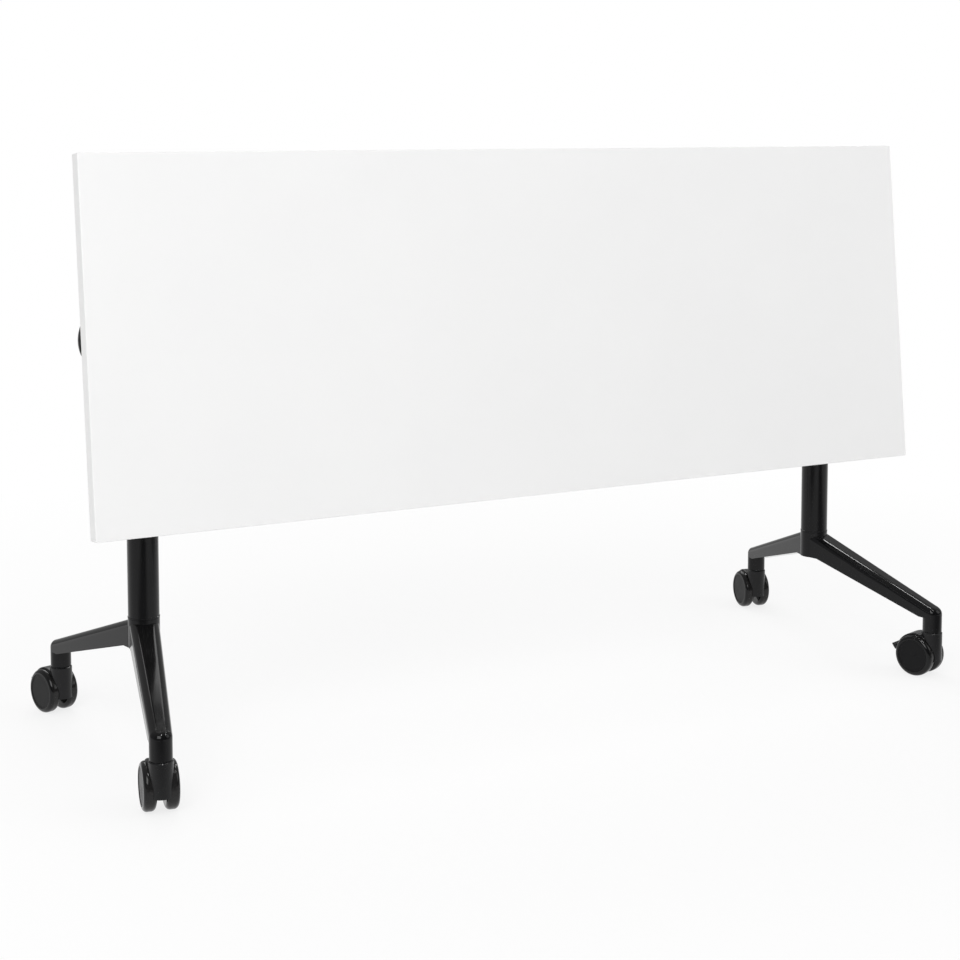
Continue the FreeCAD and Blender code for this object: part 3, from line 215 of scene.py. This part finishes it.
def domed_screw(head_radius, head_height, shank_radius, shank_length):
    """A screw that stands on the origin: a domed head above, and below it the shank with a blunt tip."""
    bpy.ops.object.select_all(action="DESELECT")
    bpy.ops.mesh.primitive_cylinder_add(vertices=32, radius=head_radius, depth=head_height)
    piece = bpy.context.object
    bpy.ops.transform.translate(value=(0, 0, head_height / 2))
    bpy.ops.object.transform_apply(location=True, rotation=False, scale=False)
    bpy.ops.object.mode_set(mode="EDIT")
    select_faces(piece, lambda face: face.normal.z > 0.9)
    bpy.ops.mesh.bevel(offset=head_height * 0.6, segments=5, profile=0.55, affect="EDGES")
    select_faces(piece, lambda face: face.normal.z < -0.9)
    bpy.ops.mesh.inset(thickness=head_radius - shank_radius)
    bpy.ops.mesh.extrude_region_move(TRANSFORM_OT_translate={"value": (0, 0, -shank_length)})
    bpy.ops.mesh.inset(thickness=shank_radius * 0.5)
    bpy.ops.transform.translate(value=(0, 0, -shank_radius * 0.5))
    bpy.ops.object.mode_set(mode="OBJECT")
    return piece


def cut_away(piece, cutter):
    """Cuts the shape of one object out of a piece."""
    bpy.ops.object.select_all(action="DESELECT")
    bpy.context.view_layer.objects.active = piece
    piece.select_set(True)
    recess = piece.modifiers.new("recess", "BOOLEAN")
    recess.operation = "DIFFERENCE"
    recess.solver = "EXACT"
    recess.object = cutter
    bpy.ops.object.modifier_apply(modifier=recess.name)
    bpy.data.objects.remove(cutter)


def own_copy(piece, place, turned):
    """A copy with its own mesh, turned and then set down at its place."""
    copy = piece.copy()
    copy.data = piece.data.copy()
    bpy.context.collection.objects.link(copy)
    copy.rotation_euler = turned
    copy.location = place
    return copy


def set_down(piece, name):
    """Names a piece and puts its place and turn into its mesh, with curved faces smooth and edges crisp."""
    bpy.ops.object.select_all(action="DESELECT")
    bpy.context.view_layer.objects.active = piece
    piece.select_set(True)
    piece.name = name
    bpy.ops.object.transform_apply(location=True, rotation=True, scale=True)
    bpy.ops.object.shade_smooth_by_angle(angle=math.radians(35))
    return piece


def join_pieces(pieces, name):
    """Joins pieces into one and sets it down."""
    bpy.ops.object.select_all(action="DESELECT")
    for piece in pieces:
        piece.select_set(True)
    bpy.context.view_layer.objects.active = pieces[0]
    bpy.ops.object.join()
    return set_down(pieces[0], name)


socket_head_radius, socket_head_height, socket_radius = 0.00525, 0.0032, 0.0022
socket_screw = domed_screw(socket_head_radius, socket_head_height, shank_radius=0.003, shank_length=0.0155)
bpy.ops.mesh.primitive_cylinder_add(
    vertices=6, radius=socket_radius, depth=socket_head_height * 1.3, location=(0, 0, socket_head_height)
)
cut_away(socket_screw, bpy.context.object)
head_to_rear = (-math.pi / 2, 0, 0)
column_x = 0.684
low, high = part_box("head_screws")
column_screws = join_pieces([
    own_copy(
        socket_screw, (side * column_x, high.y - socket_head_height, (low.z + high.z) / 2), head_to_rear
    )
    for side in (-1, 1)
], "column_screws")
column_screws.data.materials.append(bright_zinc)
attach(column_screws, "frame")
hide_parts("head_screws")

# Crossbar: rectangular steel tube, powder-coated like the columns, pushed over the spigots of both heads.
# Four more of the socket screws hold it from behind, two at each end.
finish_nodes(tube_black, ["crossbar"])
screw_spread = 0.012
low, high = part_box("crossbar_screws")
spigot_screws = join_pieces([
    own_copy(socket_screw, (
        side * (high.x - socket_head_radius),
        high.y - socket_head_height,
        (low.z + high.z) / 2 + level * screw_spread,
    ), head_to_rear)
    for side in (-1, 1)
    for level in (-1, 1)
], "spigot_screws")
bpy.data.objects.remove(socket_screw)
spigot_screws.data.materials.append(bright_zinc)
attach(spigot_screws, "frame")
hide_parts("crossbar_screws")

# Worktop: particle board between two sheets of white melamine, with a white plastic strip round its edge.
# The melamine is pressed on with a fine pearl grain and wiped to a slightly uneven gloss; the strip is glued
# on and a touch duller.
melamine, tree, shader = new_finish("white_melamine")
place = add_node(tree, "TexCoord", "Object", {})
pearl = add_node(tree, "TexVoronoi", "Distance", {"Vector": place, "Scale": 900}, feature="SMOOTH_F1")
pearl_relief = add_node(tree, "Bump", "Normal", {"Height": pearl, "Strength": 0.35, "Distance": 0.00004})
wiped = add_node(tree, "TexNoise", "Fac", {"Vector": place, "Scale": 5, "Detail": 8})
wiped_gloss = add_node(tree, "MapRange", "Result", {"Value": wiped, "To Min": 0.42, "To Max": 0.58})
white_drift = add_node(tree, "Mix", "Result", {
    "Factor": wiped, "A": (0.84, 0.84, 0.84, 1), "B": (0.865, 0.865, 0.862, 1),
}, data_type="RGBA")
wire(tree, shader, {
    "Base Color": white_drift, "Roughness": wiped_gloss, "Normal": pearl_relief, "Specular IOR Level": 0.35,
})
finish_nodes(melamine, ["worktop_laminate", "underside_laminate"])
edge_strip = moulded_plastic(
    "white_edge_strip", colour=(0.86, 0.86, 0.857), gloss=(0.42, 0.5),
    grain_mm=1.2, grain_depth_mm=0.012, paler=1.02,
)
finish_nodes(edge_strip, ["edge_band"])
chipboard = moulded_plastic(
    "chipboard", colour=(0.42, 0.3, 0.17), gloss=(0.8, 0.95), grain_mm=2.5, grain_depth_mm=0.4
)
finish_nodes(chipboard, ["worktop_core"])

# Brackets: bent and welded steel plates under the worktop, powder-coated, each held by six wood screws.
# A hinge pin with a hexagon head and a nut runs through both ears of each bracket.
finish_nodes(tube_black, ["left_bracket", "right_bracket"])
finish_nodes(bright_zinc, ["hinge_pins", "hinge_nuts"])
joints = {joint["name"]: joint for joint in frame["joints"]}
hinge_y, hinge_z = joints["flip"]["pos_m"][1:]
lean = math.radians(6.16)
plate_height = 0.0477


def on_worktop(along, depth, height):
    """A point given along the folded worktop, by its depth behind the hinge and its height above it."""
    return (
        along,
        hinge_y + depth * math.sin(lean) - height * math.cos(lean),
        hinge_z + depth * math.cos(lean) + height * math.sin(lean),
    )


wood_head_radius, wood_head_height = 0.0045, 0.003
cross_length, cross_width = 0.00339411, 0.000814587
screws_across, screws_deep = (-0.048, 0.048), (-0.096, 0, 0.096)
wood_screw = domed_screw(wood_head_radius, wood_head_height, shank_radius=0.0024, shank_length=0.0215)
for slot_x, slot_y in ((cross_length, cross_width), (cross_width, cross_length)):
    bpy.ops.mesh.primitive_cube_add(
        size=1, location=(0, 0, wood_head_height), scale=(slot_x, slot_y, wood_head_height * 1.3)
    )
    cut_away(wood_screw, bpy.context.object)
plate_screws = join_pieces([
    own_copy(
        wood_screw, on_worktop(side * column_x + across, depth, plate_height), (-math.pi / 2 - lean, 0, 0)
    )
    for side in (-1, 1)
    for across in screws_across
    for depth in screws_deep
], "plate_screws")
bpy.data.objects.remove(wood_screw)
plate_screws.data.materials.append(bright_zinc)
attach(plate_screws, "top")
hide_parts("bracket_screws")

# Latch: a bright round bar with a flat hook over each head. A black moulded lever clamped to each end of the
# bar is squeezed up against the worktop to let the hooks go.
finish_nodes(bright_zinc, ["release_bar", "latch_hooks"])
lever_black = moulded_plastic(
    "satin_black_moulding", colour=(0.006, 0.006, 0.0065), gloss=(0.3, 0.45), grain_mm=0.5, grain_depth_mm=0.03
)
finish_nodes(lever_black, ["left_handle", "right_handle"])

# Leaf springs: a bent strip of spring steel riveted flat under each bracket plate, whose free leg leans on
# the hook and bends with it when the levers are squeezed.
seat_start, knee = 0.0262, 0.0502
strip_width, strip = 0.008, 0.0008
leg_run, leg_drop, leg_steps = 0.012, 0.0225, 8
bpy.ops.object.select_all(action="DESELECT")
bpy.ops.mesh.primitive_cube_add(size=1, location=(0, (seat_start + knee) / 2, plate_height - strip / 2))
leaf = bpy.context.object
bpy.ops.transform.resize(value=(strip_width, knee - seat_start, strip))
bpy.ops.object.transform_apply(location=True, rotation=False, scale=True)
bpy.ops.object.mode_set(mode="EDIT")
bpy.ops.mesh.select_mode(type="VERT")
bpy.ops.mesh.select_all(action="DESELECT")
bpy.ops.object.mode_set(mode="OBJECT")
for corner in leaf.data.vertices:
    corner.select = corner.co.y > knee - strip and corner.co.z < plate_height - strip / 2
bpy.ops.object.mode_set(mode="EDIT")
bpy.ops.transform.translate(value=(0, -strip, 0))
select_faces(leaf, lambda face: face.normal.y > 0.5)
for step in range(leg_steps):
    bpy.ops.mesh.extrude_region_move(
        TRANSFORM_OT_translate={"value": (0, leg_run / leg_steps, -leg_drop / leg_steps)}
    )
bpy.ops.object.mode_set(mode="OBJECT")
rolled = leaf.modifiers.new("rolled_edges", "BEVEL")
rolled.width = 0.00015
rolled.segments = 2
rolled.limit_method = "ANGLE"
rolled.angle_limit = math.radians(50)
bpy.ops.object.modifier_apply(modifier=rolled.name)
leaves = join_pieces([
    own_copy(leaf, (side * column_x, hinge_y, hinge_z), (math.pi / 2 - lean, 0, 0)) for side in (-1, 1)
], "leaf_strips")
bpy.data.objects.remove(leaf)
leaves.data.materials.append(bright_zinc)
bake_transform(leaves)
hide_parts("leaf_springs")

# Casters: glossy black nylon twin wheels under a moulded hood, a grey disc pressed into each outer face.
# Each turns on a steel stem screwed into the foot. The treads are scuffed and dusty from rolling, and the
# discs show fine lathe lines round their middle.
def wheel_plastic(name, middle, turn, colour, gloss, shine, tread_dust, line_mm):
    """Wheel plastic whose scuffs and turned lines run round the axle."""
    material = moulded_plastic(name, colour, gloss, grain_mm=2.0, grain_depth_mm=0.01)
    tree = material.node_tree
    shader = tree.nodes["Principled BSDF"]
    place = tree.nodes["Texture Coordinate"].outputs["Object"]
    moulded_relief, moulded_gloss, moulded_tint = [
        shader.inputs[socket].links[0].from_socket for socket in ("Normal", "Roughness", "Base Color")
    ]
    at_axle = add_node(
        tree, "Mapping", "Vector", {"Vector": place, "Location": middle, "Rotation": (0, 0, turn)},
        vector_type="TEXTURE",
    )
    upright = add_node(tree, "VectorMath", "Vector", {0: at_axle, 1: (0, 1, 1)}, operation="MULTIPLY")
    from_axle = add_node(tree, "VectorMath", "Value", {0: upright}, operation="LENGTH")
    lines = add_node(
        tree, "Math", "Value", {0: from_axle, 1: 2 * math.pi * 1000 / line_mm}, operation="MULTIPLY"
    )
    wave = add_node(tree, "Math", "Value", {0: lines}, operation="SINE")
    turned = add_node(tree, "Bump", "Normal", {
        "Height": wave, "Strength": 0.2, "Distance": 0.00002, "Normal": moulded_relief,
    })
    tread = add_node(tree, "MapRange", "Result", {
        "Value": from_axle, "From Min": 0.0362, "From Max": 0.038, "To Max": tread_dust,
    })
    scuff = add_node(tree, "TexNoise", "Fac", {"Vector": at_axle, "Scale": 210, "Detail": 6})
    dusty = add_node(tree, "Math", "Value", {0: tread, 1: scuff}, operation="MULTIPLY")
    dusted = add_node(tree, "Mix", "Result", {
        "Factor": dusty, "A": moulded_tint, "B": (0.2, 0.19, 0.18, 1),
    }, data_type="RGBA")
    dulled = add_node(tree, "Math", "Value", {0: dusty, 1: 0.8, 2: moulded_gloss}, operation="MULTIPLY_ADD")
    wire(tree, shader, {
        "Base Color": dusted, "Roughness": dulled, "Normal": turned, "Specular IOR Level": shine,
    })
    return material


housing_black = moulded_plastic(
    "housing_black_nylon", colour=(0.0045, 0.0045, 0.005), gloss=(0.24, 0.38), grain_mm=0.8, grain_depth_mm=0.01
)
pedal_black = moulded_plastic(
    "pedal_black_nylon", colour=(0.006, 0.006, 0.0065), gloss=(0.34, 0.55), grain_mm=0.6, grain_depth_mm=0.03
)
finish_nodes(bright_zinc, ["caster_stems"])
headings = {}
for corner in ("left_rear", "left_front", "right_rear", "right_front"):
    roll = joints[f"{corner}_left_roll"]
    middle = tuple(roll["pos_m"])
    headings[corner] = math.atan2(roll["axis"][1], roll["axis"][0])
    rim = wheel_plastic(
        f"{corner}_rim_black", middle, headings[corner], colour=(0.003, 0.003, 0.0033), gloss=(0.07, 0.15),
        shine=0.28, tread_dust=0.08, line_mm=1.2,
    )
    disc = wheel_plastic(
        f"{corner}_disc_grey", middle, headings[corner], colour=(0.007, 0.007, 0.0074), gloss=(0.26, 0.38),
        shine=0.1, tread_dust=0, line_mm=0.7,
    )
    for side in ("left", "right"):
        finish_nodes(rim, [f"{corner}_caster_{side}_wheel"])
        finish_nodes(disc, [f"{corner}_caster_{side}_disc"])
    finish_nodes(housing_black, [f"{corner}_caster_housing"])
    finish_nodes(pedal_black, [f"{corner}_caster_pedal"])
    finish_nodes(bright_zinc, [f"{corner}_caster_axle"])

# Pedal treads: three low ribs moulded across the toe of each brake pedal, so that a shoe does not slip.
# They are the same nylon as the pedal, worn a little paler on top.
rib_length, rib_width, rib_height, rib_round = 0.023, 0.0011, 0.0014, 0.0004
ribs_behind_stem = (0.0686, 0.0708, 0.073)
bpy.ops.object.select_all(action="DESELECT")
bpy.ops.mesh.primitive_cube_add(size=1)
rib = bpy.context.object
bpy.ops.transform.resize(value=(rib_length, rib_width, rib_height))
bpy.ops.object.transform_apply(location=False, rotation=False, scale=True)
bpy.ops.object.mode_set(mode="EDIT")
select_faces(rib, lambda face: face.normal.z > 0.9)
bpy.ops.mesh.bevel(offset=rib_round, segments=3, affect="EDGES")
bpy.ops.object.mode_set(mode="OBJECT")
tread = join_pieces([own_copy(rib, (0, back, 0), (0, 0, 0)) for back in ribs_behind_stem], "tread")
tread.data.materials.append(pedal_black)
bpy.data.objects.remove(rib)
for corner, heading in headings.items():
    stem_x, stem_y = joints[f"{corner}_swivel"]["pos_m"][:2]
    toe_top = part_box(f"{corner}_caster_pedal")[1].z
    pedal_tread = set_down(
        own_copy(tread, (stem_x, stem_y, toe_top), (0, 0, heading)), f"{corner}_pedal_tread"
    )
    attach(pedal_tread, f"{corner}_caster_pedal")
bpy.data.objects.remove(tread)

# Studio: a wide pale floor, large soft lamps in front and behind, and three narrow strips that show only as
# reflections in the black gloss. In those reflections the floor's glow in front has painted dark stretches.
# The camera has the photo's viewpoint, left of the middle and a little above the worktop.
bpy.ops.object.select_all(action="DESELECT")
bpy.ops.mesh.primitive_plane_add(size=40, location=(0, 0, 0))
floor = bpy.context.object
floor.name = "studio_floor"
floor_white, tree, shader = new_finish("studio_white")
wire(tree, shader, {"Base Color": (0.92, 0.92, 0.92, 1), "Roughness": 0.9, "Specular IOR Level": 0.1})
rays = tree.nodes.new("ShaderNodeLightPath").outputs
seen = add_node(
    tree, "Math", "Value", {0: rays["Is Camera Ray"], 1: rays["Is Glossy Ray"]}, operation="MAXIMUM"
)
seen_through = add_node(tree, "Math", "Value", {0: seen, 1: rays["Is Transmission Ray"]}, operation="MAXIMUM")
place = add_node(tree, "TexCoord", "Object", {})
away = add_node(tree, "VectorMath", "Value", {0: place}, operation="LENGTH")
fade = add_node(tree, "MapRange", "Result", {
    "Value": away, "From Min": 0.9, "From Max": 2.2, "To Min": 0.8, "To Max": 1.0,
})
glow_share = add_node(tree, "Math", "Value", {0: seen_through, 1: fade}, operation="MULTIPLY")
# Painted dark stretches in the floor's glow in front: only the black gloss sees them, as a painted reflection.
band_period = 2.1
floor_x = add_node(tree, "SeparateXYZ", "X", {"Vector": place})
floor_y = add_node(tree, "SeparateXYZ", "Y", {"Vector": place})
stretch = add_node(tree, "Math", "Value", {0: floor_x, 1: 2 * math.pi / band_period}, operation="MULTIPLY")
bands = add_node(tree, "Math", "Value", {0: stretch}, operation="COSINE")
painted_dark_stretches = add_node(tree, "MapRange", "Result", {
    "Value": bands, "From Min": 0.5, "From Max": -0.7, "To Max": 0.8,
})
in_front = add_node(tree, "MapRange", "Result", {"Value": floor_y, "From Min": -0.35, "From Max": -0.65})
front_bands = add_node(tree, "Math", "Value", {0: painted_dark_stretches, 1: in_front}, operation="MULTIPLY")
mirrored_bands = add_node(
    tree, "Math", "Value", {0: front_bands, 1: rays["Is Glossy Ray"]}, operation="MULTIPLY"
)
glow_level = add_node(tree, "Math", "Value", {0: 1.0, 1: mirrored_bands}, operation="SUBTRACT")
glow = add_node(tree, "Emission", "Emission", {"Strength": glow_level})
floor_look = add_node(tree, "MixShader", "Shader", {"Fac": glow_share, 1: shader.outputs["BSDF"], 2: glow})
wire(tree, tree.nodes["Material Output"], {"Surface": floor_look})
floor.data.materials.append(floor_white)

world = bpy.data.worlds.new("studio_world")
world.use_nodes = True
bpy.context.scene.world = world
tree = world.node_tree
rays = tree.nodes.new("ShaderNodeLightPath").outputs
seen = add_node(
    tree, "Math", "Value", {0: rays["Is Camera Ray"], 1: rays["Is Transmission Ray"]}, operation="MAXIMUM"
)
direction = add_node(tree, "TexCoord", "Generated", {})
to_rear = add_node(tree, "SeparateXYZ", "Y", {"Vector": direction})
room = add_node(tree, "MapRange", "Result", {
    "Value": to_rear, "From Min": -0.75, "From Max": 0.1, "To Min": 0.12, "To Max": 0.45,
})
mirrored = add_node(tree, "Math", "Value", {0: rays["Is Glossy Ray"], 1: room}, operation="MULTIPLY")
shown = add_node(tree, "Math", "Value", {0: seen, 1: mirrored}, operation="MAXIMUM")
ambient = add_node(tree, "Math", "Value", {0: rays["Is Diffuse Ray"], 1: 0.56}, operation="MULTIPLY")
level = add_node(tree, "Math", "Value", {0: shown, 1: ambient}, operation="MAXIMUM")
wire(tree, tree.nodes["Background"], {"Color": (1, 1, 1, 1), "Strength": level})

for lamp_name, place, aim, width, length, power in (
    ("key_lamp", (-2.6, -3.0, 3.0), (0, 0, 0.6), 2.4, 2.4, 88),
    ("fill_lamp", (3.2, -2.4, 2.4), (0, 0, 0.5), 2.4, 2.4, 28),
    ("back_lamp", (0.5, 3.2, 3.2), (0, 0, 0.4), 2.6, 2.6, 50),
    ("left_strip", (-0.75, -1.1, 2.4), (-0.75, -0.5, 0), 0.12, 0.5, 9),
    ("right_strip", (0.65, -1.1, 2.4), (0.65, -0.5, 0), 0.12, 0.5, 9),
    ("rear_strip", (1.65, 0.75, 2.45), (0.72, -0.2, 0.17), 0.12, 2.6, 28),
):
    bpy.ops.object.light_add(type="AREA", location=place)
    lamp = bpy.context.object
    lamp.name = lamp_name
    lamp.data.shape = "RECTANGLE"
    lamp.data.size = width
    lamp.data.size_y = length
    lamp.data.energy = power
    lamp.visible_diffuse = lamp_name.endswith("lamp")
    look = [to - at for at, to in zip(place, aim)]
    lamp.rotation_euler = (
        math.atan2(math.hypot(look[0], look[1]), -look[2]),
        0,
        math.atan2(look[0], -look[1]) + math.pi,
    )

bpy.ops.object.camera_add(location=(-1.6026, -2.924, 1.0379))
camera = bpy.context.object
camera.rotation_euler = (math.radians(90 - 4.93), 0, math.radians(-28.01))
camera.data.sensor_width = 36
camera.data.lens = 70.0
camera.data.shift_y = -0.2083
bpy.context.scene.camera = camera

bpy.context.scene.view_settings.view_transform = "Standard"
